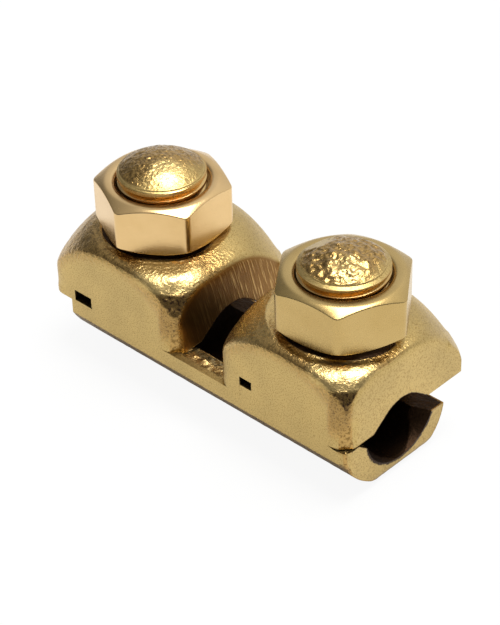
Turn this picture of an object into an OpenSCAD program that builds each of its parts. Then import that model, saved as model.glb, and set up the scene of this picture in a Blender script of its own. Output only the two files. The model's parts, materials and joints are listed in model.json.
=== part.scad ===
// Reducing splice connector: two bare cables of unlike size are clamped end to end.
// X runs along the cables with the small end at +X, and Z is up along the studs.
// The foot of the base lies on Z = 0, the studs and the cables on Y = 0, and X = 0 is midway between the studs.

/* [Overall] */
// Distance between the two stud axes
stud_spacing = 34.2; // [30:0.1:40]
// Width over the ground sides
body_w = 24; // [23.2:0.1:27]
// Distance from the stud axes to the ground near side
near_half = 11.4; // [11:0.1:12.2]

/* [Cable grooves] */
// Diameter of the cable in the large end
large_cable_d = 10.8; // [10.4:0.1:11.2]
// Diameter of the cable in the small end
small_cable_d = 10; // [9:0.1:10.4]
// Depth of the cable axis below the parting plane
cable_drop = 2; // [1.6:0.1:2.2]
// Slope of the flared feet of the saddles' arches
arch_flare = 37; // [32:1:45]
// Angle from the bottom of the trough up to which it follows the cable
seat_angle = 64; // [58:1:70]
// Slope of the trough's sides above that angle
side_slope = 54; // [50:1:56]
// Length of the flared mouths at the two ends of the trough
mouth_l = 4; // [3:0.1:5]
// Slope of the flared mouths
mouth_slope = 20; // [17:1:25]
// Room below the cable at the outer ends of the mouths
mouth_ease = 0.1; // [0.1:0.1:0.3]

/* [Base casting] */
// Height of the parting plane above the foot
base_h = 9.1; // [8.6:0.1:12]
// Width of the flat foot
foot_w = 6.8; // [4:0.1:8]
// Shift of the rounded underside towards the far side
foot_shift = 0.5; // [0:0.1:1]
// Height of the ground near side below the parting plane
near_side_h = 2.3; // [2:0.1:3]
// Length of the base past the axis of the large-end stud
large_reach = 8.3; // [7.6:0.1:11]
// Radius of the lower corners at the two ends
end_corner_r = 1.6; // [0.5:0.1:2.2]
// Width of the flat rim under the saddles on the near side
near_rim_w = 2.5; // [1.5:0.1:3]
// Slope of the near wall inside the rim
near_slope = 39; // [36:1:42]
// Depth of the far lip below the parting plane
lip_drop = 3.1; // [2.4:0.1:3.6]
// Distance from the cable axis to the outer side of the far lip
lip_y = 9; // [8.6:0.1:9.6]
// Radius of the underside below the far lip
lip_r = 7; // [6:0.1:7.4]

/* [Yokes and studs] */
// Reach of each yoke from its stud axis towards the small end
yoke_reach = 4.8; // [4:0.1:5.5]
// Reach of the large-end yoke from its stud axis towards the large end
large_yoke_back = 3.9; // [3.6:0.1:4.5]
// Reach of the small-end yoke from its stud axis towards the large end
small_yoke_back = 6.4; // [5:0.1:7]
// Depth at which the yoke legs blend into the trough, below the parting plane
yoke_root = 5; // [4:0.1:6]
// Height of the large-end yoke's legs above the parting plane
large_leg_h = 1.9; // [1.4:0.1:2.6]
// Height of the small-end yoke's legs above the parting plane
small_leg_h = 3.1; // [2.3:0.1:3.4]
// Height of the yoke's shoulders above the parting plane
yoke_h = 5.7; // [5.4:0.1:6.4]
// Inset of the far leg from the outer side of the far lip
far_leg_inset = 0.3; // [0.2:0.1:0.6]
// Room above the cable inside the yokes
arch_ease = 0.3; // [0.1:0.1:0.6]
// Length of the open slot beside the large-end yoke
large_slot_l = 3.6; // [2.8:0.1:4]
// Length of the open slot beside the small-end yoke
small_slot_l = 2.4; // [1.8:0.1:3]
// Height of the low step in the large-end slot above the parting plane
large_step_h = 0.1; // [0.1:0.1:1]
// Height of the low step in the small-end slot above the parting plane
small_step_h = 1.6; // [1:0.1:2]
// Outside diameter of the stud threads
stud_d = 12.7; // [11.5:0.1:13.4]
// Length of each stud's root below the yoke's shoulders
stud_root = 1; // [0.6:0.1:1.2]
// Height of the large-end stud's edge above the nut
large_stud_edge = 1.4; // [1:0.1:3]
// Height of the small-end stud's edge above the nut
small_stud_edge = 1.1; // [1:0.1:3]
// Height of the rough domes on top of the studs
dome_h = 2.1; // [1:0.1:3]

/* [Saddles] */
// Length of the large saddle along the cable
large_saddle_l = 25.6; // [23:0.1:27]
// Length of the small saddle along the cable
small_saddle_l = 23.6; // [21:0.1:25]
// Offset of the large saddle's middle from its stud, towards the middle of the connector
large_offset = 0.3; // [0:0.1:1]
// Offset of the small saddle's middle from its stud, towards the middle of the connector
small_offset = 1.4; // [0.4:0.1:1.8]
// Height of the nut seat above the parting plane
saddle_h = 11.3; // [10.4:0.1:13]
// Radius of the flat nut seat
seat_r = 9.5; // [8.8:0.1:9.9]
// Radius of the cast dome
cast_r = 18.4; // [17.5:0.1:19.5]
// Radius of the upright near corners
near_corner_r = 2.2; // [0.8:0.1:3]
// Rise of the far edge above the parting plane
far_edge_rise = 0.2; // [0:0.1:0.6]

/* [Nuts] */
// Width across the flats of the nuts
nut_af = 17.5; // [16.5:0.1:19]
// Height of the nuts
nut_h = 7.6; // [6.5:0.1:9]
// Inset of the round end faces from the flats
nut_face_inset = 0.35; // [0.1:0.05:0.6]
// Slope of the chamfers on the corners
nut_chamfer_slope = 30; // [25:1:40]
// Depth of the countersinks at the bore's mouths
countersink = 0.8; // [0.4:0.1:1.2]
// Turn of the large-end nut's corners from the cable axis
large_nut_turn = 35; // [0:1:59]
// Turn of the small-end nut's corners from the cable axis
small_nut_turn = 6; // [0:1:59]

/* [Fits] */
// Gap between a nut and its stud
thread_gap = 0.05; // [0.02:0.01:0.1]
// Gap between a saddle and its stud
stud_gap = 0.4; // [0.3:0.05:0.6]
// Gap between a saddle and its yoke
yoke_gap = 0.1; // [0.05:0.05:0.3]

/* [Hidden] */
$fn = 96;
// Overlap that carries cuts past the faces that they open
cut = 1;
// Turn that keeps the seam of the nuts' round faces off their corners
seam_turn = 25;
bronze = "#b79a5e";
nut_bronze = "#cdae6c";
near_y = -near_half;
far_y = body_w - near_half;
cable_z = base_h - cable_drop;
small_end = small_saddle_l / 2 - small_offset;
large_stud_x = -stud_spacing / 2;
small_stud_x = stud_spacing / 2;
seat_z = base_h + saddle_h;
nut_top_z = seat_z + nut_h;
shoulder_z = base_h + yoke_h;
shoulder_y = stud_d / 2 + stud_gap;
large_slot_end = large_yoke_back + large_slot_l;
small_slot_end = small_yoke_back + small_slot_l;
large_r = large_cable_d / 2;
small_r = small_cable_d / 2;
lip_z = base_h - lip_drop;
wall_z = base_h - (near_half - near_rim_w - small_r / 2) * tan(near_slope);
cast_z = seat_z - sqrt(pow(cast_r, 2) - pow(seat_r, 2));

// The near underside is one arc through both edges of the foot and the foot of the near side
arc_top = base_h - near_side_h;
arc_side = near_half + foot_shift;
arc_z = (pow(arc_side, 2) + pow(arc_top, 2) - pow(foot_w / 2, 2)) / (2 * arc_top);
arc_r = norm([foot_w / 2, arc_z]);

// The far underside is an arc from the far edge of the foot to the outer side of the lip
lip_axis_y = lip_y - lip_r;
lip_axis_z = sqrt(pow(lip_r, 2) - pow(foot_shift + foot_w / 2 - lip_axis_y, 2));
far_leg_y = lip_y - far_leg_inset;

// Radius of the ways through the yokes and, with some ease, of the mouths, which are centred on the parting plane
function trough_r(r) = r + cable_drop;

// Lays a section drawn in Y and Z along X
module along_x(from, to) {
    translate([from, 0, 0]) rotate([90, 0, 90]) linear_extrude(to - from) children();
}

// Lays a side view drawn in X and Z through the whole width
module through_y() {
    translate([0, far_y + cut, 0]) rotate([90, 0, 0]) linear_extrude(body_w + 2 * cut) children();
}

// Seat of the cable along the trough: round under the cable, with straight sides that open above it.
// The sides start inside the cable's circle, so that they cross it.
module groove_section(r) {
    back = r * sin(seat_angle - side_slope);
    low = cable_z - r * cos(seat_angle) - back * sin(side_slope);
    low_y = r * sin(seat_angle) - back * cos(side_slope);
    high = base_h + cut;
    high_y = low_y + (high - low) / tan(side_slope);
    translate([0, cable_z]) circle(r);
    polygon([[-high_y, high], [-low_y, low], [low_y, low], [high_y, high]]);
}

// Flared mouth at the end of the trough, opening along X from its inner end
module mouth(r) {
    end_r = trough_r(r) + mouth_ease + cut * tan(mouth_slope);
    rotate([0, 90, 0]) cylinder(r1 = end_r - (mouth_l + cut) * tan(mouth_slope), r2 = end_r, h = mouth_l + cut);
}

// Way for the cable through a yoke: the trough, closed by an arch of the same radius above the cable
module passage_section(r) {
    intersection() {
        translate([0, base_h]) circle(trough_r(r));
        translate([0, cable_z + r + arch_ease - trough_r(r)]) circle(trough_r(r));
    }
}

// Arch of a saddle: round over the cable, with feet that flare along its tangents
module arch_section(r) {
    top = cable_z + r * cos(arch_flare);
    top_y = r * sin(arch_flare);
    low = base_h - cut;
    low_y = top_y + (top - low) / tan(arch_flare);
    translate([0, cable_z]) circle(r);
    polygon([[-low_y, low], [-top_y, top], [top_y, top], [low_y, low]]);
}

// Rounded underside, between the ground near side and the outer side of the far lip
module underside_section() {
    intersection() {
        translate([foot_shift, arc_z]) circle(arc_r);
        translate([near_y, 0]) square([lip_axis_y - near_y, 2 * arc_r]);
    }
    intersection() {
        union() {
            translate([lip_axis_y, lip_axis_z]) circle(lip_r);
            translate([foot_shift, lip_axis_z]) square([lip_y - foot_shift, arc_r]);
        }
        translate([foot_shift, 0]) square([body_w, 2 * arc_r]);
    }
}

// Section of the trough: thick near wall, round underside and low far lip
module trough_section(r) {
    difference() {
        intersection() {
            underside_section();
            polygon([
                [near_y, 0],
                [near_y, base_h],
                [near_y + near_rim_w, base_h],
                [-small_r / 2, wall_z],
                [small_r / 2, lip_z],
                [far_y, lip_z],
                [far_y, 0]
            ]);
        }
        groove_section(r);
    }
}

// Side view of the trough with its lower end corners rounded
module trough_side() {
    from = large_stud_x - large_reach;
    to = small_stud_x + small_end;
    translate([from, end_corner_r]) square([to - from, base_h]);
    translate([from + end_corner_r, 0]) square([to - from - 2 * end_corner_r, base_h]);
    for (x = [from + end_corner_r, to - end_corner_r]) translate([x, end_corner_r]) circle(end_corner_r);
}

// Yoke outline across the cable, grown by a gap and carried out to the given sides
module yoke_section(leg_h, gap, near, far) {
    leg_z = base_h + leg_h + gap;
    polygon([
        [near, base_h - yoke_root],
        [near, leg_z],
        [near_y, leg_z],
        [-shoulder_y - gap, shoulder_z + gap],
        [shoulder_y + gap, shoulder_z + gap],
        [far_leg_y, leg_z],
        [far, leg_z],
        [far, base_h - yoke_root]
    ]);
}

// Side view of a yoke, with the low step that fills the foot of the slot
module yoke_side(back, slot_end, step_h) {
    root_z = base_h - yoke_root;
    translate([-back, root_z]) square([back + yoke_reach, yoke_root + yoke_h]);
    translate([yoke_gap - slot_end, root_z]) square([slot_end, yoke_root + step_h]);
}

// Yoke over the cable with a threaded stud and its rough dome on top
module yoke_and_stud(r, back, slot_end, step_h, leg_h, edge) {
    edge_z = nut_top_z + edge;
    dome_r = (pow(stud_d / 2, 2) + pow(dome_h, 2)) / (2 * dome_h);
    difference() {
        intersection() {
            along_x(-slot_end, yoke_reach) intersection() {
                yoke_section(leg_h, 0, near_y, far_leg_y);
                underside_section();
            }
            through_y() yoke_side(back, slot_end, step_h);
        }
        along_x(-slot_end - cut, yoke_reach + cut) passage_section(r);
    }
    translate([0, 0, shoulder_z - stud_root]) cylinder(d = stud_d, h = edge_z - shoulder_z + stud_root);
    translate([0, 0, edge_z]) intersection() {
        cylinder(d = stud_d, h = dome_h);
        translate([0, 0, dome_h - dome_r]) sphere(dome_r);
    }
}

// One casting: the trough, both yokes and both studs
module base() {
    color(bronze) {
        difference() {
            intersection() {
                union() {
                    along_x(large_stud_x - large_reach, 0) trough_section(large_r);
                    along_x(0, small_stud_x + small_end) trough_section(small_r);
                }
                through_y() trough_side();
            }
            translate([large_stud_x - large_reach + mouth_l, 0, base_h]) mirror([1, 0, 0]) mouth(large_r);
            translate([small_stud_x + small_end - mouth_l, 0, base_h]) mouth(small_r);
        }
        translate([large_stud_x, 0, 0])
            yoke_and_stud(large_r, large_yoke_back, large_slot_end, large_step_h, large_leg_h, large_stud_edge);
        translate([small_stud_x, 0, 0])
            yoke_and_stud(small_r, small_yoke_back, small_slot_end, small_step_h, small_leg_h, small_stud_edge);
    }
}

// Outline of a saddle from above, with its near corners rounded
module saddle_plan(length) {
    inner_l = length - 2 * near_corner_r;
    translate([-inner_l / 2, near_y]) square([inner_l, body_w]);
    translate([-length / 2, near_y + near_corner_r]) square([length, body_w - near_corner_r]);
    for (x = [-inner_l / 2, inner_l / 2]) translate([x, near_y + near_corner_r]) circle(near_corner_r);
}

// Saddle section between its ground sides
module saddle_section() {
    polygon([
        [near_y, base_h],
        [near_y, seat_z],
        [far_y, seat_z],
        [far_y, base_h + far_edge_rise]
    ]);
}

// Cap over a yoke: a cast dome with four ground sides, arched over the cable.
// Its middle lies beside the stud axis by the given offset.
module saddle(r, length, offset, slot_end, leg_h) {
    color(bronze) difference() {
        translate([offset, 0, 0]) intersection() {
            translate([0, 0, cast_z]) sphere(cast_r);
            along_x(-length, length) saddle_section();
            linear_extrude(seat_z + cut) saddle_plan(length);
        }
        along_x(-length, length) arch_section(r);
        along_x(-slot_end, yoke_reach + yoke_gap) yoke_section(leg_h, yoke_gap, near_y - cut, far_leg_y + yoke_gap);
        cylinder(r = stud_d / 2 + stud_gap, h = seat_z + cut);
    }
}

module large_saddle() {
    translate([large_stud_x, 0, 0]) saddle(large_r, large_saddle_l, large_offset, large_slot_end, large_leg_h);
}

module small_saddle() {
    translate([small_stud_x, 0, 0]) saddle(small_r, small_saddle_l, -small_offset, small_slot_end, small_leg_h);
}

// Hexagon nut with chamfered corners and a countersunk bore
module hex_nut(turn) {
    corner_r = nut_af / sqrt(3);
    face_r = nut_af / 2 - nut_face_inset;
    rim_r = corner_r + cut;
    rim_h = (rim_r - face_r) * tan(nut_chamfer_slope);
    bore_r = stud_d / 2 + thread_gap;
    color(nut_bronze) rotate([0, 0, turn]) difference() {
        intersection() {
            cylinder(r = corner_r, h = nut_h, $fn = 6);
            rotate([0, 0, seam_turn]) rotate_extrude() polygon([
                [0, 0],
                [face_r, 0],
                [rim_r, rim_h],
                [rim_r, nut_h - rim_h],
                [face_r, nut_h],
                [0, nut_h]
            ]);
        }
        translate([0, 0, -cut]) cylinder(r = bore_r, h = nut_h + 2 * cut);
        translate([0, 0, nut_h - countersink]) cylinder(r1 = bore_r, r2 = bore_r + countersink, h = countersink);
        cylinder(r1 = bore_r + countersink, r2 = bore_r, h = countersink);
    }
}

module large_nut() {
    translate([large_stud_x, 0, seat_z]) hex_nut(large_nut_turn);
}

module small_nut() {
    translate([small_stud_x, 0, seat_z]) hex_nut(small_nut_turn);
}

base();
large_saddle();
small_saddle();
large_nut();
small_nut();
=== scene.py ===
import json
import math

import bmesh
import bpy
from mathutils import Matrix, Vector, noise


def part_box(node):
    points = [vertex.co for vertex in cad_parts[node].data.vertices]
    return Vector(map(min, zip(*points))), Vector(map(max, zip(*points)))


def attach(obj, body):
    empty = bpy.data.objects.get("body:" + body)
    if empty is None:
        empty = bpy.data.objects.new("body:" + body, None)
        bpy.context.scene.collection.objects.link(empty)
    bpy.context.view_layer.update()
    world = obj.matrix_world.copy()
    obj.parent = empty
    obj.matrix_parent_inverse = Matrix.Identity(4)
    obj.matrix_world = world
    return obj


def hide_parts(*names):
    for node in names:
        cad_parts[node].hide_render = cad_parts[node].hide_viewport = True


mm = 0.001  # every size below is written in millimetres

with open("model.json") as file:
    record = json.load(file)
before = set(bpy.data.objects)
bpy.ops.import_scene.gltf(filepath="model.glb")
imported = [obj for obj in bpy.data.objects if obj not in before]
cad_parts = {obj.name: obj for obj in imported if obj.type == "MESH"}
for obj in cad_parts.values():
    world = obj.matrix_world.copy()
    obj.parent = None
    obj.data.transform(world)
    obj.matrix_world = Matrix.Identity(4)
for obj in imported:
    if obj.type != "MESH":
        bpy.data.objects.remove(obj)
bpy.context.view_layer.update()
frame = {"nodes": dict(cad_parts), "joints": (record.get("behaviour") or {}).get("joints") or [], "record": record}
joints = {joint["name"]: joint for joint in frame["joints"]}
largeAxis = Vector(joints["large_nut_turn"]["pos_m"])  # on the stud axis, at the nut's seat
smallAxis = Vector(joints["small_nut_turn"]["pos_m"])
mounts = {mount["name"]: mount for mount in frame["record"]["mounts"]}
cableZ = mounts["large_cable"]["pos_m"][2] / mm
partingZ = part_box("large_saddle")[0].z / mm  # where the saddles rest on the base
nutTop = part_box("large_nut")[1].z / mm
# reach of each groove below the middle of the parting
troughR = {end: mounts[end + "_cable"]["dims"]["r_mm"] + partingZ - cableZ for end in ("large", "small")}
print("frame loaded:", sorted(frame["nodes"]))


def toLinear(hexText):
    channels = [int(hexText[i:i + 2], 16) / 255 for i in (1, 3, 5)]
    return [c / 12.92 if c <= 0.04045 else ((c + 0.055) / 1.055) ** 2.4 for c in channels] + [1]


def addNode(tree, kind, settings=None, links=None):
    node = tree.nodes.new(kind)
    for name, value in (settings or {}).items():
        if isinstance(name, int) or name in node.inputs:
            node.inputs[name].default_value = value
        else:
            setattr(node, name, value)
    for name, socket in (links or {}).items():
        tree.links.new(socket, node.inputs[name])
    return node


def perSize(size):
    return 1 / (size * mm)  # texture scale whose grains are about this many millimetres wide


def between(low, high):
    return {"From Min": low, "From Max": high}


def clamp(value, low, high):
    return min(max(value, low), high)


def smoothStep(low, high, value):
    t = clamp((value - low) / (high - low), 0, 1)
    return t * t * (3 - 2 * t)


def toMesh(bm, name):
    mesh = bpy.data.meshes.new(name)
    bm.to_mesh(mesh)
    bm.free()
    return mesh


def cutOff(bm, height, side):
    everything = bm.verts[:] + bm.edges[:] + bm.faces[:]
    bmesh.ops.bisect_plane(bm, geom=everything, plane_co=(0, 0, height * mm), plane_no=(0, 0, side),
                           clear_outer=True)


def newPiece(name, mesh, body, material, stoodFor=()):
    piece = bpy.data.objects.new(name, mesh)
    bpy.context.scene.collection.objects.link(piece)
    mesh.materials.clear()
    mesh.materials.append(material)
    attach(piece, body)
    if stoodFor:
        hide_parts(*stoodFor)
    return piece


# Camera at the photograph's viewing angle
cameraSettings = {
    "azimuth": 44.39, "elevation": 35.43, "roll": -1.56,
    "distance": 300.9, "pixelsPerMm": 7.179,  # at that distance
    "pivot": (0, 0, 17.1), "pivotPixel": (251.8, 287.4), "imageSize": (500, 625),
}


def makeCamera(s):
    az, el, roll = (math.radians(s[k]) for k in ("azimuth", "elevation", "roll"))
    ahead = Vector((-math.sin(az) * math.cos(el), math.cos(az) * math.cos(el), -math.sin(el)))
    level = Vector((math.cos(az), math.sin(az), 0))
    upright = level.cross(ahead)
    right = level * math.cos(roll) + upright * math.sin(roll)
    up = upright * math.cos(roll) - level * math.sin(roll)
    data = bpy.data.cameras.new("photoCamera")
    data.sensor_fit = "HORIZONTAL"
    data.lens = s["pixelsPerMm"] * s["distance"] * data.sensor_width / s["imageSize"][0]
    place = Vector(s["pivot"]) - ahead * s["distance"]
    # the camera turns a little, so that the pivot falls on its own pixel
    offset = [(s["imageSize"][k] / 2 - s["pivotPixel"][k]) / s["pixelsPerMm"] for k in (0, 1)]
    aim = Vector(s["pivot"]) + right * offset[0] - up * offset[1]
    ahead = (aim - place).normalized()
    right = (right - ahead * right.dot(ahead)).normalized()
    up = right.cross(ahead)
    turn = Matrix((right, up, -ahead)).transposed().to_4x4()
    camera = bpy.data.objects.new("photoCamera", data)
    camera.matrix_world = Matrix.Translation(place * mm) @ turn
    data.clip_start = 0.01
    bpy.context.scene.collection.objects.link(camera)
    bpy.context.scene.camera = camera


makeCamera(cameraSettings)
print("camera placed")


def newMetal(name):
    material = bpy.data.materials.new(name)
    material.use_nodes = True
    tree = material.node_tree
    tree.nodes["Principled BSDF"].inputs["Metallic"].default_value = 1
    place = addNode(tree, "ShaderNodeTexCoord").outputs["Object"]
    return material, tree, place


def finishMetal(tree, colour, roughness, relief, depth):
    shader = tree.nodes["Principled BSDF"]
    bump = addNode(tree, "ShaderNodeBump", {"Strength": 1, "Distance": depth * mm}, {"Height": relief})
    tree.links.new(colour, shader.inputs["Base Color"])
    tree.links.new(roughness, shader.inputs["Roughness"])
    tree.links.new(bump.outputs["Normal"], shader.inputs["Normal"])


# Sand-cast bronze with ground sides: the cast skin sparkles, the ground sides are satin with fine pits,
# and the hollows keep a nearly black oxide from the casting, with painted shade added where shade falls
castSettings = {
    "groundColour": "#c4aa6e", "groundRoughness": 0.38, "groundRelief": 0.02,
    "pitColour": "#94763f", "pitRange": (0.34, 0.52), "pitShare": 0.8,
    "skinColour": "#b6945a", "skinRoughness": 0.24, "skinRelief": 0.07, "skinBorder": (0.25, 0.75),
    "hollowColour": "#57401c", "hollowRange": (0.36, 0.54), "hollowShare": 0.65,
    "wearAndLightColour": "#dcbf80", "wearAndLightRoughness": 0.3,
    "oxideAndShadeColour": "#3a2a1d", "oxideAndShadeRoughness": 0.45, "oxideAndShadeBorder": (0.35, 0.6),
    "sawColour": "#835f30", "sawLineColour": "#c4a066", "sawLineRange": (0.54, 0.64),
    "sawSpacing": 0.28, "sawSlant": -14, "sawStretch": (0.2, 1, 0.05), "sawRelief": 0.06,
    "lumpSize": 0.42, "gritSize": 0.2, "stainSize": 6, "stainRange": (0.3, 0.7), "stainShade": (0.9, 1.05),
    "ragged": 0.8, "gritRoughness": 0.2,
}


def makeCastBronze(s):
    material, tree, place = newMetal("sandCastBronze")
    cast, sawn, inside, wearAndPaintedLight = (addNode(tree, "ShaderNodeAttribute", {"attribute_name": name}).outputs["Fac"]
                                for name in ("cast", "sawn", "inside", "wearAndPaintedLight"))
    lumps = addNode(tree, "ShaderNodeTexNoise",
                    {"Scale": perSize(s["lumpSize"]), "Detail": 2, "Roughness": 0.55},
                    {"Vector": place}).outputs["Fac"]
    grit = addNode(tree, "ShaderNodeTexNoise",
                   {"Scale": perSize(s["gritSize"]), "Detail": 2, "Roughness": 0.6},
                   {"Vector": place}).outputs["Fac"]
    stain = addNode(tree, "ShaderNodeTexNoise", {"Scale": perSize(s["stainSize"]), "Detail": 3},
                    {"Vector": place}).outputs["Fac"]
    # saw lines stand upright on the sawn end, a little slanted
    slanted = addNode(tree, "ShaderNodeMapping", {"Rotation": (math.radians(s["sawSlant"]), 0, 0)},
                      {"Vector": place}).outputs["Vector"]
    stretched = addNode(tree, "ShaderNodeMapping", {"Scale": s["sawStretch"]},
                        {"Vector": slanted}).outputs["Vector"]
    saw = addNode(tree, "ShaderNodeTexNoise",
                  {"Scale": perSize(s["sawSpacing"]), "Detail": 3, "Roughness": 0.6},
                  {"Vector": stretched}).outputs["Fac"]

    # the cast skin and the oxide with its painted shade end in ragged borders
    uneven = addNode(tree, "ShaderNodeMath",
                     {"operation": "MULTIPLY_ADD", 1: s["ragged"], 2: -s["ragged"] / 2},
                     {0: lumps}).outputs[0]
    skinSum = addNode(tree, "ShaderNodeMath", {"operation": "ADD"}, {0: cast, 1: uneven}).outputs[0]
    skinShare = addNode(tree, "ShaderNodeMapRange", between(*s["skinBorder"]),
                        {"Value": skinSum}).outputs["Result"]
    # the inside share paints dark oxide together with painted shade
    oxideAndShadeSum = addNode(tree, "ShaderNodeMath", {"operation": "ADD"}, {0: inside, 1: uneven}).outputs[0]
    oxideAndShadeShare = addNode(tree, "ShaderNodeMapRange", between(*s["oxideAndShadeBorder"]),
                         {"Value": oxideAndShadeSum}).outputs["Result"]

    # colour: pitted satin, cast skin with dark hollows, worn places with painted highlights and painted light,
    # sawn end, oxide with painted shade
    pitShare = addNode(tree, "ShaderNodeMapRange",
                       {**between(*s["pitRange"]), "To Min": s["pitShare"], "To Max": 0},
                       {"Value": grit}).outputs["Result"]
    ground = addNode(tree, "ShaderNodeMix",
                     {"data_type": "RGBA", 6: toLinear(s["groundColour"]), 7: toLinear(s["pitColour"])},
                     {0: pitShare}).outputs[2]
    hollowShare = addNode(tree, "ShaderNodeMapRange",
                          {**between(*s["hollowRange"]), "To Min": s["hollowShare"], "To Max": 0},
                          {"Value": lumps}).outputs["Result"]
    skin = addNode(tree, "ShaderNodeMix",
                   {"data_type": "RGBA", 6: toLinear(s["skinColour"]), 7: toLinear(s["hollowColour"])},
                   {0: hollowShare}).outputs[2]
    beforeWearAndLight = addNode(tree, "ShaderNodeMix", {"data_type": "RGBA"},
                     {0: skinShare, 6: ground, 7: skin}).outputs[2]
    # the worn share is partly real wear and partly painted light: painted highlights and places painted paler
    unsawn = addNode(tree, "ShaderNodeMix", {"data_type": "RGBA", 7: toLinear(s["wearAndLightColour"])},
                     {0: wearAndPaintedLight, 6: beforeWearAndLight}).outputs[2]
    # the lower half of the sawn share brings the sawn face, the upper half its lines
    sawShare = addNode(tree, "ShaderNodeMapRange", between(0, 0.5), {"Value": sawn}).outputs["Result"]
    lineReach = addNode(tree, "ShaderNodeMapRange", between(0.5, 1), {"Value": sawn}).outputs["Result"]
    lineShare = addNode(tree, "ShaderNodeMapRange", between(*s["sawLineRange"]),
                        {"Value": saw, "To Max": lineReach}).outputs["Result"]
    lined = addNode(tree, "ShaderNodeMix",
                    {"data_type": "RGBA", 6: toLinear(s["sawColour"]), 7: toLinear(s["sawLineColour"])},
                    {0: lineShare}).outputs[2]
    clean = addNode(tree, "ShaderNodeMix", {"data_type": "RGBA"},
                    {0: sawShare, 6: unsawn, 7: lined}).outputs[2]
    darkest, palest = s["stainShade"]
    shade = addNode(tree, "ShaderNodeMapRange",
                    {**between(*s["stainRange"]), "To Min": darkest, "To Max": palest},
                    {"Value": stain}).outputs["Result"]
    stained = addNode(tree, "ShaderNodeVectorMath", {"operation": "SCALE"},
                      {0: clean, "Scale": shade}).outputs[0]
    colour = addNode(tree, "ShaderNodeMix", {"data_type": "RGBA", 7: toLinear(s["oxideAndShadeColour"])},
                     {0: oxideAndShadeShare, 6: stained}).outputs[2]

    # roughness: satin sides, shinier grains on the skin, dull oxide
    roughBeforeWearAndLight = addNode(tree, "ShaderNodeMapRange",
                          {"To Min": s["groundRoughness"], "To Max": s["skinRoughness"]},
                          {"Value": skinShare}).outputs["Result"]
    wearAndLightRough = addNode(tree, "ShaderNodeMix", {3: s["wearAndLightRoughness"]},
                        {0: wearAndPaintedLight, 2: roughBeforeWearAndLight}).outputs[0]
    gritRough = addNode(tree, "ShaderNodeMath",
                        {"operation": "MULTIPLY_ADD", 1: s["gritRoughness"], 2: -s["gritRoughness"] / 2},
                        {0: grit}).outputs[0]
    roughSum = addNode(tree, "ShaderNodeMath", {"operation": "ADD"}, {0: wearAndLightRough, 1: gritRough}).outputs[0]
    roughness = addNode(tree, "ShaderNodeMix", {3: s["oxideAndShadeRoughness"]},
                        {0: oxideAndShadeShare, 2: roughSum}).outputs[0]

    # relief in millimetres: sand grain on the skin, faint pits on the ground sides, saw lines
    sand = addNode(tree, "ShaderNodeMath", {"operation": "MULTIPLY_ADD", 1: 0.5},
                   {0: grit, 2: lumps}).outputs[0]
    skinDepth = addNode(tree, "ShaderNodeMath", {"operation": "MULTIPLY", 1: s["skinRelief"]},
                        {0: sand}).outputs[0]
    groundDepth = addNode(tree, "ShaderNodeMath", {"operation": "MULTIPLY", 1: s["groundRelief"]},
                          {0: grit}).outputs[0]
    depth = addNode(tree, "ShaderNodeMix", {}, {0: skinShare, 2: groundDepth, 3: skinDepth}).outputs[0]
    sawDepth = addNode(tree, "ShaderNodeMath", {"operation": "MULTIPLY", 1: s["sawRelief"]},
                       {0: saw}).outputs[0]
    relief = addNode(tree, "ShaderNodeMath", {"operation": "MULTIPLY_ADD"},
                     {0: sawDepth, 1: lineReach, 2: depth}).outputs[0]
    finishMetal(tree, colour, roughness, relief, 1)
    return material


# Machined bronze of the nuts and threads: smooth and a little cloudy, with faint tool lines round the axis
machinedSettings = {
    "cloudSize": 5, "cloudRange": (0.35, 0.7), "cloudShare": 0.6, "grainSize": 0.3, "grainRoughness": 0.05,
    "lineSpacing": 0.25, "lineStretch": (0.15, 0.15, 1), "lineDepth": 0.003,
}


def makeMachinedBronze(name, colourHex, dullHex, roughness, s):
    material, tree, place = newMetal(name)
    cloud = addNode(tree, "ShaderNodeTexNoise", {"Scale": perSize(s["cloudSize"]), "Detail": 3},
                    {"Vector": place}).outputs["Fac"]
    grain = addNode(tree, "ShaderNodeTexNoise", {"Scale": perSize(s["grainSize"]), "Detail": 2},
                    {"Vector": place}).outputs["Fac"]
    flat = addNode(tree, "ShaderNodeMapping", {"Scale": s["lineStretch"]},
                   {"Vector": place}).outputs["Vector"]
    lines = addNode(tree, "ShaderNodeTexNoise", {"Scale": perSize(s["lineSpacing"]), "Detail": 2},
                    {"Vector": flat}).outputs["Fac"]
    share = addNode(tree, "ShaderNodeMapRange", {**between(*s["cloudRange"]), "To Max": s["cloudShare"]},
                    {"Value": cloud}).outputs["Result"]
    colour = addNode(tree, "ShaderNodeMix",
                     {"data_type": "RGBA", 6: toLinear(colourHex), 7: toLinear(dullHex)},
                     {0: share}).outputs[2]
    spread = s["grainRoughness"]
    rough = addNode(tree, "ShaderNodeMapRange", {"To Min": roughness - spread, "To Max": roughness + spread},
                    {"Value": grain}).outputs["Result"]
    finishMetal(tree, colour, rough, lines, s["lineDepth"])
    return material


castBronze = makeCastBronze(castSettings)
# the large nut's bronze is painted brighter and the small nut's darker: lit and shaded copies of one finish
largeNutPaintedBright = makeMachinedBronze("machinedBronzePaintedBright", "#dcbb86", "#ccaa72", 0.25, machinedSettings)
smallNutPaintedDim = makeMachinedBronze("machinedBronzePaintedDim", "#bfa46c", "#b3975e", 0.28, machinedSettings)
threadBronze = makeMachinedBronze("threadBronze", "#d8b67a", "#b08a4a", 0.25, machinedSettings)
print("finishes made")


# Casting skin: an even net of small faces over the solid, which the lumps of the sand then move
skinSettings = {
    "weld": 0.002,  # points closer than this are merged before the net is laid
    "lumpSize": 1.2, "lumpHeight": 0.035, "gritSize": 0.55, "gritHeight": 0.02, "crease": 40,
}


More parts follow.
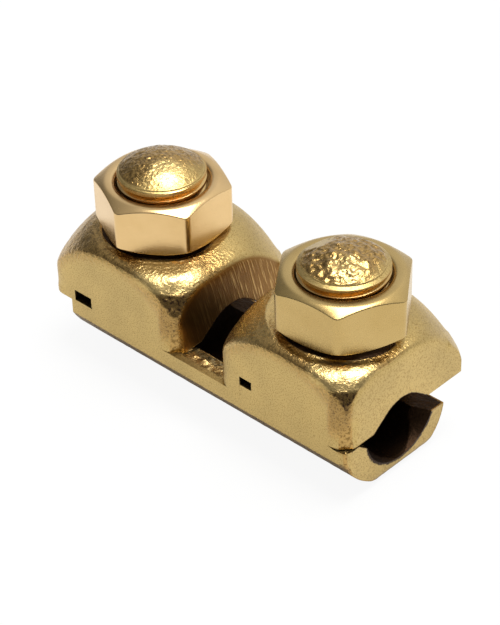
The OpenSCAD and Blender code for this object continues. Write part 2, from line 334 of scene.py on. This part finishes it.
def castCopy(node, netDepth, netScale, cutAbove=None):
    bm = bmesh.new()
    bm.from_mesh(frame["nodes"][node].data)
    bmesh.ops.remove_doubles(bm, verts=bm.verts, dist=skinSettings["weld"] * mm)
    if cutAbove is not None:
        cutOff(bm, cutAbove, 1)
        bmesh.ops.holes_fill(bm, edges=[e for e in bm.edges if e.is_boundary])
    mesh = toMesh(bm, node + "Solid")
    solid = bpy.data.objects.new(node + "Solid", mesh)
    bpy.context.scene.collection.objects.link(solid)
    net = solid.modifiers.new("net", "REMESH")
    net.mode = "SHARP"
    net.octree_depth = netDepth
    net.scale = netScale
    net.use_remove_disconnected = False
    evaluated = solid.evaluated_get(bpy.context.evaluated_depsgraph_get())
    netted = bpy.data.meshes.new_from_object(evaluated)
    skin = bmesh.new()
    skin.from_mesh(netted)
    bpy.data.objects.remove(solid)
    bpy.data.meshes.remove(mesh)
    bpy.data.meshes.remove(netted)
    return skin


def roundCorner(bm, low, high, s):
    # the upright near corner towards the small end
    reach = s["cornerReach"]
    corner = [v for v in bm.verts if v.co.x / mm > high.x - reach and v.co.y / mm < low.y + reach]
    for k in range(s["cornerRounds"]):
        bmesh.ops.smooth_vert(bm, verts=corner, factor=0.5,
                              use_axis_x=True, use_axis_y=True, use_axis_z=False)


def addShares(mesh, shares):
    for name, values in shares.items():
        mesh.attributes.new(name, "FLOAT", "POINT").data.foreach_set("value", values)


def roughen(mesh, shares, s):
    normals = [vertex.normal.copy() for vertex in mesh.vertices]
    for vertex, normal, share in zip(mesh.vertices, normals, shares):
        if share > 0:
            lump = noise.noise(vertex.co / (s["lumpSize"] * mm))
            grit = noise.noise(vertex.co / (s["gritSize"] * mm))
            vertex.co += normal * share * (lump * s["lumpHeight"] + grit * s["gritHeight"]) * mm


def finishSkin(name, mesh, node):
    mesh.shade_smooth()
    mesh.set_sharp_from_angle(angle=math.radians(skinSettings["crease"]))
    newPiece(name, mesh, node, castBronze, [node])


def facingCable(point, normal):
    away = Vector((point.y, point.z - cableZ)).normalized()
    return -(normal.y * away.x + normal.z * away.y)  # 1 where a face looks at the cable


onSide = 0.06  # nearer than this to the ground near side, a point takes its finish

# Saddles: a ball with ground sides, cast a little fuller, with softly rolled edges and a dip round the nut
saddleSettings = {
    "netDepth": 7, "netScale": 0.98,
    "domeRadius": 18.4, "seatRadius": 9.5, "onDome": 0.06,  # nearer than this, a point lies on the dome
    "shapeLow": 1, "shapeHigh": 4,  # heights over the parting where the shaping starts and is full
    "fill": 0.8, "fillReach": (9.5, 12.5), "awayLoss": 0.65,  # fuller than a ball, less so to -X and +Y
    "cornerFill": 0.7, "cornerSpread": (0.85, 0.99),
    "rollReach": 2.4, "rollRounds": 80, "farCorner": 2.5,  # the far corners stay sharp
    "cornerReach": 1.4, "cornerRounds": 25,
    "topDepth": 2.5, "topNormal": 0.3,  # what belongs to the top round the nut
    "dip": 0.25, "dipIn": (8.0, 8.7), "dipOut": (9.2, 10.6), "dipSide": (0.4, -0.92),  # deeper in front
    "nutShadowIn": (7.8, 8.2), "nutShadowOut": (8.7, 9.4),  # painted shadow under the nut's edge
    "ribLength": 3.6, "ribWidth": 2.5, "ribEase": 0.55,  # the near corner towards the small end is eased
    "ribStart": (-4, -2.6), "ribDepth": (1, 2.2), "ribSkin": 0.85, "ribOxide": 0.38,
    "groundTurn": (0.8, 0.98), "border": 0.65, "borderReach": (0.2, 2.8),  # skin runs over the rolled edge
    # the far flank is smoother
    "satinSide": (0.5, 0.87), "satinSpread": (0.1, 0.75), "satinSkin": 0.75, "satinCalm": 0.7,
    # the near corner under the nut is worn bright and carries a painted highlight, with a rough patch of painted
    # shade below it
    "bulgeSide": (0.72, -0.69), "bulgeSpread": (0.88, 0.985), "bulgeHeight": (17.8, 18.6),
    "bulgeSkin": 0.65, "bulgeWearAndHighlight": 0.9, "bulgeCalm": 0.8,
    "patchLow": (14.6, 15.6), "patchHigh": (17.8, 18.8), "patchSpread": (0.86, 0.96),
    "patchShade": 0.5, "patchLumps": 3,
    # the notches are painted dark, oxide with painted shade, the ground near side is clean
    "notchInset": 2, "notchNormal": 0.7, "cleanSide": 0.3,
    # the saw lines fade to the near side
    "sawTurn": (0.75, 0.99), "lineTurn": (0.93, 0.99), "lineReach": (-12, 2),
}


def makeSaddle(name, node, axis, sawnEnd, paintedPaleness, s):
    low, high = (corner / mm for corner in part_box(node))
    middle = (low.x + high.x) / 2
    domeZ = high.z - math.sqrt(s["domeRadius"] ** 2 - s["seatRadius"] ** 2)
    dome = Vector((middle, 0, domeZ))
    bulgeSide, dipSide, satinSide = (Vector(s[key]) for key in ("bulgeSide", "dipSide", "satinSide"))
    shapeLow = partingZ + s["shapeLow"]
    shapeHigh = partingZ + s["shapeHigh"]
    bm = castCopy(node, s["netDepth"], s["netScale"])

    def onTop(p, n):
        return n.z > s["topNormal"] and p.z > high.z - s["topDepth"]

    def aroundNut(place):
        offset = (place - axis).xy
        return offset.length / mm, smoothStep(0, 0.7, offset.normalized().dot(dipSide))

    for vertex in bm.verts:
        p = vertex.co / mm
        if abs((p - dome).length - s["domeRadius"]) < s["onDome"] and p.z > shapeLow:
            out = p - Vector((middle, 0, p.z))
            way = out.normalized()
            corner = smoothStep(*s["cornerSpread"], way.xy.dot(bulgeSide))
            away = max(1 - smoothStep(-0.9, 0, way.x), smoothStep(0.1, 0.9, way.y))
            fill = s["fill"] * (1 - s["awayLoss"] * away) + s["cornerFill"] * corner
            fill *= smoothStep(*s["fillReach"], out.length)
            p += (p - dome).normalized() * fill * smoothStep(shapeLow, shapeHigh, p.z)
            vertex.co = Vector([clamp(p[k], low[k], high[k]) for k in range(3)]) * mm

    # only the upper edges are rolled, the inner walls keep their clearance
    edge = []
    for vertex in bm.verts:
        p = vertex.co / mm
        depth = s["domeRadius"] - (p - dome).length
        endGap = min(p.x - low.x, high.x - p.x)
        sideGap = min(endGap, p.y - low.y, high.y - p.y)
        farCorner = p.y > high.y - s["farCorner"] and endGap < s["farCorner"]
        if max(depth, sideGap) < s["rollReach"] and p.z > shapeLow and not farCorner:
            edge.append(vertex)
    for k in range(s["rollRounds"]):
        bmesh.ops.smooth_vert(bm, verts=edge, factor=0.5, use_axis_x=True, use_axis_y=True, use_axis_z=True)
    roundCorner(bm, low, high, s)
    bm.normal_update()
    for vertex in bm.verts:
        p = vertex.co / mm
        if onTop(p, vertex.normal):
            reach, front = aroundNut(vertex.co)
            ring = smoothStep(*s["dipIn"], reach) * (1 - smoothStep(*s["dipOut"], reach))
            vertex.co.z -= s["dip"] * (0.3 + 0.7 * front) * ring * mm
        along = max(0, p.x - high.x + s["ribLength"]) / s["ribLength"]
        across = max(0, 1 - (p.y - low.y) / s["ribWidth"])
        vertex.co.y += s["ribEase"] * along ** 2 * across * mm
    mesh = toMesh(bm, name)

    cast, sawn, inside, wearAndPaintedLight, outer = [], [], [], [], []
    for vertex in mesh.vertices:
        p = vertex.co / mm
        n = vertex.normal
        way = Vector((p.x - middle, p.y)).normalized()
        ground = smoothStep(*s["groundTurn"], max(abs(n.x), abs(n.y)))
        if p.y < low.y + onSide and p.z < shapeHigh:
            ground = 1  # edges of the seams and slots
        flank = smoothStep(*s["satinSpread"], way.dot(satinSide))
        fullDepth = s["domeRadius"] + s["fill"] - (p - dome).length
        border = s["border"] * (1 - smoothStep(*s["borderReach"], fullDepth))
        border *= 1 - smoothStep(0.5, 0.9, n.x)
        bulge = smoothStep(*s["bulgeHeight"], p.z) * smoothStep(*s["bulgeSpread"], way.dot(bulgeSide))
        patch = smoothStep(*s["patchLow"], p.z) * smoothStep(*s["patchSpread"], way.dot(bulgeSide))
        patch *= (1 - smoothStep(*s["patchHigh"], p.z)) * (1 - ground)
        rib = smoothStep(*s["ribStart"], p.x - high.x) * (1 - smoothStep(*s["ribDepth"], p.y - low.y))

        # the arch over the cable is painted dark: oxide with painted shade
        hollow = smoothStep(0.3, 0.55, facingCable(p, n))
        if abs(n.x) > s["notchNormal"] and min(p.x - low.x, high.x - p.x) > s["notchInset"]:
            hollow = 1
        if p.y < low.y + s["cleanSide"]:
            hollow = 0
        if onTop(p, n):
            # a painted shadow under the nut's edge, darkest in front
            reach, front = aroundNut(vertex.co)
            nutShadow = smoothStep(*s["nutShadowIn"], reach) * (1 - smoothStep(*s["nutShadowOut"], reach))
            hollow = max(hollow, nutShadow * front)
        ribOxide = s["ribOxide"] * rib * smoothStep(partingZ, shapeHigh, p.z)
        # the patch below the bulge is painted shade
        hollow = max(hollow, s["patchShade"] * patch, ribOxide)
        inside.append(hollow)

        lines = smoothStep(*s["lineTurn"], n.x) * smoothStep(*s["lineReach"], p.y)
        sawn.append(0.5 * smoothStep(*s["sawTurn"], n.x) + 0.5 * lines if sawnEnd else 0)
        skin = max(1 - ground, border, s["ribSkin"] * rib * smoothStep(partingZ - 1, shapeHigh, p.z))
        cast.append(skin * (1 - s["satinSkin"] * flank) * (1 - s["bulgeSkin"] * bulge))
        # worn share: the worn bulge with its painted highlight, and painted light towards the -X end
        wearAndPaintedLight.append(max(s["bulgeWearAndHighlight"] * bulge, paintedPaleness * smoothStep(0, 0.8, -way.x)) * (1 - ground))
        lumps = (1 - ground) * (1 - hollow + s["patchLumps"] * patch)
        lumps *= 1 - s["satinCalm"] * flank
        lumps *= 1 - s["bulgeCalm"] * bulge
        outer.append(lumps * smoothStep(0, 0.25, n.z))
    roughen(mesh, outer, skinSettings)
    addShares(mesh, {"cast": cast, "sawn": sawn, "inside": inside, "wearAndPaintedLight": wearAndPaintedLight})
    finishSkin(name, mesh, node)


# the large saddle's inner end is sawn, and the small saddle is painted paler towards it, as painted light on the
# flank that faces the large saddle
makeSaddle("large_saddle_casting", "large_saddle", largeAxis, True, 0.1, saddleSettings)
makeSaddle("small_saddle_casting", "small_saddle", smallAxis, False, 0.7, saddleSettings)
print("saddles cast")


# Base casting without its studs, which are turned separately below
baseSettings = {
    "netDepth": 8, "netScale": 0.85, "yokeTop": 14.8, "studFoot": 0.3,  # the studs start inside the yokes
    "nearWall": -5,  # the thick near wall lies before this y
    "slopeNormal": 0.777,  # upward share of the near wall's inner slope
    # ground together with the saddles, so the near seams hardly show
    "legFill": 0.2, "legDepth": (0.5, 2.5), "rimFill": 0.1, "seamInset": 0.015,
    # soft upright corner at the small end, with a ragged gap under the saddle
    "cornerReach": 1.3, "cornerRounds": 25, "cornerDrop": 0.45, "dropReach": (23.5, 25.5), "dropLumps": 1.5,
    # between the saddles the near wall is fuller, and only a narrow rim of it is ground
    "rimRise": 0.7, "riseDepth": (-7.2, -6.2), "riseEnd": (4, 5.5),
    "gap": (-4.3, 4.2), "satinRim": 1.1, "rimDepth": 0.25, "rimLumps": 5, "rimPaintedLight": 0.85,
    "rimDarkening": 0.5, "rimDarkeningDepth": (-6.8, -5.6),
    # a darker far lip, dark burrs round the groove's mouths with a painted shadow along the rim's seam, and
    # painted shade on the underside
    "lipDrop": 3.1, "lipDarkening": 0.8, "burr": 0.9, "burrAndSeamShade": 0.85, "footShade": 0.42,
}


def makeBase(s):
    low, high = (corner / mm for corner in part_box("base"))
    bm = castCopy("base", s["netDepth"], s["netScale"], s["yokeTop"] + s["studFoot"])
    roundCorner(bm, low, high, s)
    bm.normal_update()
    seamY = (low.y + s["seamInset"]) * mm
    for vertex in bm.verts:
        p = vertex.co / mm
        n = vertex.normal
        nearTop = p.y < s["nearWall"] and n.z > 0.3
        if p.y < low.y + s["legDepth"][1] and p.z > partingZ + 0.3 and (n.z > 0.3 or abs(n.x) > 0.6):
            fill = s["legFill"] * (1 - smoothStep(*s["legDepth"], p.y - low.y))
            vertex.co += Vector((n.x, 0, n.z)).normalized() * fill * mm
            vertex.co.y = max(vertex.co.y, seamY)
        elif nearTop and abs(p.z - partingZ) < 0.1:
            drop = smoothStep(*s["dropReach"], p.x) * (0.6 + 0.8 * abs(noise.noise(p * s["dropLumps"])))
            vertex.co.z += (s["rimFill"] - s["cornerDrop"] * drop) * mm
            vertex.co.y = max(vertex.co.y, seamY)
        elif nearTop and p.z > partingZ - 4 and abs(p.x) < 6:
            rise = (1 - smoothStep(*s["riseDepth"], p.y)) * (1 - smoothStep(*s["riseEnd"], abs(p.x)))
            vertex.co.z += s["rimRise"] * rise * (partingZ - p.z) * mm
    mesh = toMesh(bm, "base_casting")

    cast, inside, wearAndPaintedLight, outer = [], [], [], []
    for vertex in mesh.vertices:
        p = vertex.co / mm
        n = vertex.normal
        ground = smoothStep(0.9, 0.98, max(abs(n.x), -n.y, n.z))
        if p.y < low.y + onSide and p.z > 4:
            ground = 1  # edges of the seams
        grooveGap = math.hypot(p.y, p.z - partingZ) - troughR["large" if p.x < 0 else "small"]
        slope = p.y < s["nearWall"] and abs(n.z - s["slopeNormal"]) < 0.1 and n.y > 0.4
        lipTop = n.z > 0.8 and p.y > 0 and abs(p.z - partingZ + s["lipDrop"]) < 0.3
        gapRim = (n.z > 0.6 and s["gap"][0] < p.x < s["gap"][1] and p.z > partingZ - 3
                  and low.y + s["satinRim"] < p.y < s["nearWall"])
        hollow = 0
        if abs(n.x) > 0.9 and min(p.x - low.x, high.x - p.x) < 0.2:
            burr = max(1 - smoothStep(0, s["burr"], grooveGap), smoothStep(partingZ - 0.6, partingZ, p.z))
            hollow = s["burrAndSeamShade"] * burr  # dark burrs along the groove's mouth, and a painted shadow of the seam along the rim
        elif slope or gapRim:
            # darker towards the groove
            hollow = s["rimDarkening"] * smoothStep(*s["rimDarkeningDepth"], p.y)
        # inside the groove: oxide with painted shade
        elif facingCable(p, n) > 0.25 and (grooveGap < 0.3 or p.z > partingZ):
            hollow = 1
        elif lipTop:
            hollow = s["lipDarkening"]
        # the underside is painted in shade
        elif n.z < -0.15:
            hollow = s["footShade"]
        elif abs(n.x) > 0.7 and p.z > partingZ and p.y > low.y + 0.5:
            hollow = 1  # walls of the yokes, painted dark as shade with oxide
        inside.append(hollow)
        cast.append(1.0 if slope or gapRim or lipTop else 1 - ground)
        # the rim between the saddles is painted lighter: painted light against its shade
        wearAndPaintedLight.append(s["rimPaintedLight"] if gapRim else 0.0)
        if gapRim:
            vertex.co.z -= s["rimDepth"] * mm
            outer.append(s["rimLumps"])
        elif lipTop:
            outer.append(1)
        else:
            outer.append((1 - ground) * (1 - hollow) if n.z < -0.1 and p.z > 0.4 else 0)
    roughen(mesh, outer, skinSettings)
    addShares(mesh, {"cast": cast, "sawn": [0.0] * len(cast), "inside": inside, "wearAndPaintedLight": wearAndPaintedLight})
    finishSkin("base_casting", mesh, "base")


makeBase(baseSettings)
print("base cast")


# Studs: a right-handed 1/2 inch thread of 20 turns per inch, with a rough cast dome on top
studSettings = {
    "diameter": 12.7, "pitch": 1.27, "threadDepth": 0.65, "stepsPerTurn": 72, "crease": 25,
    "threadWeld": 0.001, "domeWeld": 0.003,  # points closer than these are merged
    "largeEdge": 1.4, "smallEdge": 1.1, "domeHeight": 2.1, "neck": 0.5, "plug": 0.15,
    "shoulder": 0.15, "shoulderSteps": 7, "shoulderTurn": 20,  # round edge of the dome over the thread
    "domeRings": 44, "domeSteps": 168,
}


def makeThread(name, axis, low, top, crest, root, body, material, s):
    pitch = s["pitch"] * mm
    turns = math.ceil((top - low) * mm / pitch) + 2
    # radius and share of the pitch
    outline = [(root, 0), (root, 1 / 8), (crest, 3 / 8), (crest, 3 / 4), (root, 1)]
    bm = bmesh.new()
    row = [bm.verts.new((axis.x + r * mm, axis.y, low * mm + (z - 1) * pitch)) for r, z in outline]
    edges = [bm.edges.new(pair) for pair in zip(row, row[1:])]
    bmesh.ops.spin(bm, geom=row + edges, cent=axis, axis=(0, 0, 1), dvec=(0, 0, pitch / s["stepsPerTurn"]),
                   angle=2 * math.pi * turns, steps=s["stepsPerTurn"] * turns, use_merge=False)
    bmesh.ops.remove_doubles(bm, verts=bm.verts, dist=s["threadWeld"] * mm)
    cutOff(bm, low, -1)
    cutOff(bm, top, 1)
    bmesh.ops.holes_fill(bm, edges=[e for e in bm.edges if e.is_boundary])
    bmesh.ops.recalc_face_normals(bm, faces=bm.faces)
    if crest < root:  # inside a nut the thread is an open sleeve that looks at its axis
        caps = [f for f in bm.faces if len(f.verts) > 4]
        bmesh.ops.delete(bm, geom=caps, context="FACES")
        bmesh.ops.reverse_faces(bm, faces=bm.faces)
    mesh = toMesh(bm, name)
    mesh.shade_smooth()
    mesh.set_sharp_from_angle(angle=math.radians(s["crease"]))
    newPiece(name, mesh, body, material)


# lumps and pits of the two domes, their smoother sides, a painted highlight on each, and the flat that was left on
# the small one
largeDome = {
    "rimInset": 0.25, "coneDrop": 0.12, "collar": 0.15,
    "lumpSize": 0.8, "lumpHeight": 0.09, "gritSize": 0.33, "gritHeight": 0.07,
    "smoothSide": (0.95, -0.3), "smoothReach": (0, 4),
    "wearAndPaintedLight": 0.7, "highlightPlace": (2.6, -1.6), "highlightReach": (1.2, 3.2),
    "flat": None,
}
smallDome = {
    "rimInset": 0.6, "coneDrop": 0.3, "collar": 0.2,
    "lumpSize": 0.95, "lumpHeight": 0.25, "gritSize": 0.45, "gritHeight": 0.08,
    "smoothSide": (0.95, 0.3), "smoothReach": (3.4, 5.6),
    "wearAndPaintedLight": 0.5, "highlightPlace": (2.4, -2.2), "highlightReach": (1.2, 3.2),
    "flat": {"normal": (-0.5, 0.06, 0.864), "height": 3.0, "skin": 0.1},
}


def makeDome(name, axis, edge, s, skin):
    radius = s["diameter"] / 2
    rise = s["domeHeight"]
    crown = (radius ** 2 + rise ** 2) / (2 * rise)
    base = nutTop + edge
    bead = s["shoulder"]
    rim = radius - skin["rimInset"] - bead
    outline = []
    for k in range(s["domeRings"]):
        r = rim * k / s["domeRings"]
        outline.append((r, math.sqrt(crown ** 2 - r ** 2) - crown + rise))
    drop = math.sqrt(crown ** 2 - rim ** 2) - crown + rise
    for k in range(s["shoulderSteps"]):
        a = math.radians(90 - s["shoulderTurn"] * k)
        outline.append((rim + bead * math.cos(a), drop - bead + bead * math.sin(a)))
    # a cone out to the thread, a short collar and a plug inside the stud
    foot = drop - 1.5 * bead - skin["coneDrop"]
    inner = Vector(outline[-1])
    outline += [tuple(inner.lerp(Vector((radius - 0.06, foot)), share)) for share in (0.08, 0.2, 0.9, 1)]
    outline += [(radius - 0.01, foot - 0.06), (radius - 0.01, foot - skin["collar"])]
    plug = foot - skin["collar"] - s["plug"]
    outline += [(radius - s["neck"], plug), (0, plug)]
    bm = bmesh.new()
    row = [bm.verts.new((axis.x + r * mm, axis.y, (base + z) * mm)) for r, z in outline]
    edges = [bm.edges.new(pair) for pair in zip(row, row[1:])]
    bmesh.ops.spin(bm, geom=row + edges, cent=axis, axis=(0, 0, 1), angle=2 * math.pi,
                   steps=s["domeSteps"], use_merge=True)
    bmesh.ops.remove_doubles(bm, verts=bm.verts, dist=s["domeWeld"] * mm)
    bmesh.ops.recalc_face_normals(bm, faces=bm.faces)
    bm.normal_update()
    mesh = toMesh(bm, name)

    centre = Vector((axis.x, axis.y, base * mm))
    smoothSide = Vector(skin["smoothSide"]).normalized()
    highlightPlace = Vector(skin["highlightPlace"])
    cast, wearAndPaintedLight, outer = [], [], []
    for vertex in mesh.vertices:
        p = (vertex.co - centre) / mm
        # a painted highlight where the overhead light falls
        bright = skin["wearAndPaintedLight"] * (1 - smoothStep(*skin["highlightReach"], (p.xy - highlightPlace).length))
        smooth = smoothStep(*skin["smoothReach"], p.xy.dot(smoothSide))
        top = 1 - smoothStep(rim - 0.1, rim + 0.1, p.xy.length)  # the shoulder stays turned and smooth
        wearAndPaintedLight.append(bright)
        cast.append((1 - 0.6 * smooth) * (1 - 0.5 * bright) * (0.2 + 0.8 * top))
        outer.append((1 - 0.7 * smooth) * top)
    roughen(mesh, outer, skin)
    flat = skin["flat"]
    if flat:
        normal = Vector(flat["normal"]).normalized()
        for k, vertex in enumerate(mesh.vertices):
            over = (vertex.co - centre).dot(normal) / mm - flat["height"]
            if over > 0:
                vertex.co -= normal * over * mm
                cast[k] = flat["skin"]
    blank = [0.0] * len(cast)
    addShares(mesh, {"cast": cast, "sawn": blank, "inside": blank, "wearAndPaintedLight": wearAndPaintedLight})
    mesh.shade_smooth()
    newPiece(name, mesh, "base", castBronze)


studLow = baseSettings["yokeTop"] - baseSettings["studFoot"]
studCrest = studSettings["diameter"] / 2
studRoot = studCrest - studSettings["threadDepth"]
for end, axis in (("large", largeAxis), ("small", smallAxis)):
    studTop = nutTop + studSettings[end + "Edge"]
    makeThread(end + "_stud_thread", axis, studLow, studTop, studCrest, studRoot,
               "base", threadBronze, studSettings)
makeDome("large_stud_dome", largeAxis, studSettings["largeEdge"], studSettings, largeDome)
makeDome("small_stud_dome", smallAxis, studSettings["smallEdge"], studSettings, smallDome)
print("studs turned")


# Nuts: a turned ring whose rim is pushed out to a hexagon with round corners and a conical chamfer
nutSettings = {
    "acrossFlats": 17.5, "height": 7.6, "faceInset": 0.55, "chamferSlope": 28, "cornerRound": 1.2,
    "bore": 13.7, "threadBore": 12.84, "largeSink": 0.7, "smallSink": 0.45,  # bores with their countersinks
    "rootInset": 0.25, "threadInset": 0.2,
    "faceEdge": 0.28, "rimEdge": 0.12, "steps": 360, "largeTurn": 35, "smallTurn": 6,
    "weld": 0.002,  # points closer than this are merged
}


def hexReach(angle, s):
    half = s["acrossFlats"] / 2
    halfTurn = math.radians(30)
    fromCorner = (angle + halfTurn) % math.radians(60) - halfTurn
    middle = (half - s["cornerRound"]) / math.cos(halfTurn)  # centre of the corner's round
    side = s["cornerRound"] * math.sin(halfTurn)
    roundEnd = math.atan2(side, middle + s["cornerRound"] * math.cos(halfTurn))
    if abs(fromCorner) < roundEnd:
        across = middle * math.sin(fromCorner)
        return middle * math.cos(fromCorner) + math.sqrt(s["cornerRound"] ** 2 - across ** 2)
    return half / math.cos(halfTurn - abs(fromCorner))


def makeNut(name, node, axis, turn, sink, s, material):
    face = s["acrossFlats"] / 2 - s["faceInset"]
    bore = s["bore"] / 2
    lip = s["threadBore"] / 2
    mouth = lip + sink
    inset = s["rootInset"]
    high = s["height"]
    rim = face + 1  # pushed to the hexagon below
    rows = {
        "rootLow": (bore, sink + inset), "boreLow": (lip, sink), "mouthLow": (mouth, 0),
        "faceLow": (face, 0), "rimLow": (rim, 1), "rimHigh": (rim, high - 1), "faceHigh": (face, high),
        "mouthHigh": (mouth, high), "boreHigh": (lip, high - sink), "rootHigh": (bore, high - sink - inset),
    }
    bm = bmesh.new()
    row = [bm.verts.new((axis.x + r * mm, axis.y, axis.z + z * mm)) for r, z in rows.values()]
    edges = [bm.edges.new(pair) for pair in zip(row, row[1:] + row[:1])]
    bmesh.ops.spin(bm, geom=row + edges, cent=axis, axis=(0, 0, 1), angle=2 * math.pi,
                   steps=s["steps"], use_merge=True)
    bmesh.ops.remove_doubles(bm, verts=bm.verts, dist=s["weld"] * mm)
    rowOf = {}
    for vertex in bm.verts:
        p = (vertex.co - axis) / mm
        flat = Vector((p.xy.length, p.z))
        key = min(rows, key=lambda k: (Vector(rows[k]) - flat).length)
        rowOf[vertex] = key
        if key in ("rimLow", "rimHigh"):
            reach = hexReach(math.atan2(p.y, p.x) - math.radians(turn), s)
            fall = (reach - face) * math.tan(math.radians(s["chamferSlope"]))
            around = p.xy.normalized() * reach
            vertex.co = axis + Vector((around.x, around.y, fall if key == "rimLow" else high - fall)) * mm
    loops = {key: [e for e in bm.edges if all(rowOf[v] == key for v in e.verts)] for key in rows}
    bmesh.ops.recalc_face_normals(bm, faces=bm.faces)
    bm.normal_update()
    eased = ((("faceLow", "faceHigh", "mouthLow", "mouthHigh"), s["faceEdge"]),
             (("rimLow", "rimHigh"), s["rimEdge"]))
    for keys, size in eased:
        chosen = [e for key in keys for e in loops[key]]
        bmesh.ops.bevel(bm, geom=chosen, offset=size * mm, offset_type="OFFSET", segments=3, profile=0.5,
                        affect="EDGES", material=-1, clamp_overlap=True)
    mesh = toMesh(bm, name)
    mesh.shade_smooth()
    nut = newPiece(name, mesh, node, material, [node])
    weighted = nut.modifiers.new("flatSides", "WEIGHTED_NORMAL")
    weighted.weight = 80


nutEnds = (("large", largeAxis, largeNutPaintedBright), ("small", smallAxis, smallNutPaintedDim))
for end, axis, material in nutEnds:
    makeNut(end + "_nut_machined", end + "_nut", axis, nutSettings[end + "Turn"], nutSettings[end + "Sink"],
            nutSettings, material)
for end, axis, material in nutEnds:
    sink = nutSettings[end + "Sink"]
    threadLow = axis.z / mm + sink + nutSettings["threadInset"]
    threadTop = axis.z / mm + nutSettings["height"] - sink - nutSettings["threadInset"]
    makeThread(end + "_nut_thread", axis, threadLow, threadTop, nutSettings["threadBore"] / 2,
               nutSettings["bore"] / 2, end + "_nut", material, studSettings)
print("nuts made")


# White paper floor, a pale backdrop behind the object and one softbox overhead
stageSettings = {
    "floorSize": 4000, "floorColour": "#f4f3f0", "cameraGlow": 0.92, "glossGlow": 0.1,
    "room": 0.2, "backdrop": 0.65, "backdropRange": (0.1, 0.75), "ceiling": 0.3, "ceilingRange": (0.4, 1),
    "softbox": {"place": (60, 60, 600), "aim": (0, 0, 15), "size": 300, "radiance": 11.5},
}


def makeFloor(s):
    bm = bmesh.new()
    bmesh.ops.create_grid(bm, x_segments=1, y_segments=1, size=s["floorSize"] / 2 * mm)
    mesh = toMesh(bm, "paperFloor")
    material = bpy.data.materials.new("whitePaper")
    material.use_nodes = True
    tree = material.node_tree
    tree.nodes.remove(tree.nodes["Principled BSDF"])
    # white to the camera and a little in the metal, matte paper with the shadow otherwise
    path = addNode(tree, "ShaderNodeLightPath").outputs
    mirrored = addNode(tree, "ShaderNodeMath", {"operation": "ADD", "use_clamp": True},
                       {0: path["Is Glossy Ray"], 1: path["Is Transmission Ray"]}).outputs[0]
    mirrorShare = addNode(tree, "ShaderNodeMath", {"operation": "MULTIPLY", 1: s["glossGlow"]},
                          {0: mirrored}).outputs[0]
    share = addNode(tree, "ShaderNodeMath",
                    {"operation": "MULTIPLY_ADD", "use_clamp": True, 1: s["cameraGlow"]},
                    {0: path["Is Camera Ray"], 2: mirrorShare}).outputs[0]
    matte = addNode(tree, "ShaderNodeBsdfDiffuse", {"Color": toLinear(s["floorColour"])}).outputs["BSDF"]
    glow = addNode(tree, "ShaderNodeEmission", {"Color": (1, 1, 1, 1), "Strength": 1}).outputs["Emission"]
    mixed = addNode(tree, "ShaderNodeMixShader", {}, {0: share, 1: matte, 2: glow}).outputs[0]
    tree.links.new(mixed, tree.nodes["Material Output"].inputs["Surface"])
    mesh.materials.append(material)
    floor = bpy.data.objects.new("paperFloor", mesh)
    bpy.context.scene.collection.objects.link(floor)


def makeRoom(s):
    world = bpy.data.worlds.new("studioRoom")
    bpy.context.scene.world = world
    world.use_nodes = True
    tree = world.node_tree
    back = tree.nodes["Background"]
    around = addNode(tree, "ShaderNodeTexCoord").outputs["Generated"]
    way = addNode(tree, "ShaderNodeSeparateXYZ", {}, {0: around}).outputs
    soft = {"interpolation_type": "SMOOTHSTEP"}
    behind = addNode(tree, "ShaderNodeMapRange",
                     {**soft, **between(*s["backdropRange"]), "To Max": s["backdrop"]},
                     {"Value": way["Y"]}).outputs["Result"]
    above = addNode(tree, "ShaderNodeMapRange",
                    {**soft, **between(*s["ceilingRange"]), "To Max": s["ceiling"]},
                    {"Value": way["Z"]}).outputs["Result"]
    both = addNode(tree, "ShaderNodeMath", {"operation": "ADD"}, {0: behind, 1: above}).outputs[0]
    level = addNode(tree, "ShaderNodeMath", {"operation": "ADD", 1: s["room"]}, {0: both}).outputs[0]
    seen = addNode(tree, "ShaderNodeLightPath").outputs["Is Camera Ray"]
    strength = addNode(tree, "ShaderNodeMix", {3: 1.0}, {0: seen, 2: level}).outputs[0]
    tree.links.new(strength, back.inputs["Strength"])
    back.inputs["Color"].default_value = (1, 1, 1, 1)


def makeSoftbox(box):
    data = bpy.data.lights.new("overheadSoftbox", "AREA")
    data.shape = "SQUARE"
    data.size = box["size"] * mm
    data.energy = box["radiance"] * math.pi * data.size ** 2
    lamp = bpy.data.objects.new("overheadSoftbox", data)
    place = Vector(box["place"])
    toward = Vector(box["aim"]) - place
    turn = toward.to_track_quat("-Z", "Y").to_matrix().to_4x4()
    lamp.matrix_world = Matrix.Translation(place * mm) @ turn
    bpy.context.scene.collection.objects.link(lamp)


makeFloor(stageSettings)
makeRoom(stageSettings)
makeSoftbox(stageSettings["softbox"])
bpy.context.scene.view_settings.view_transform = "Standard"
print("stage lit")
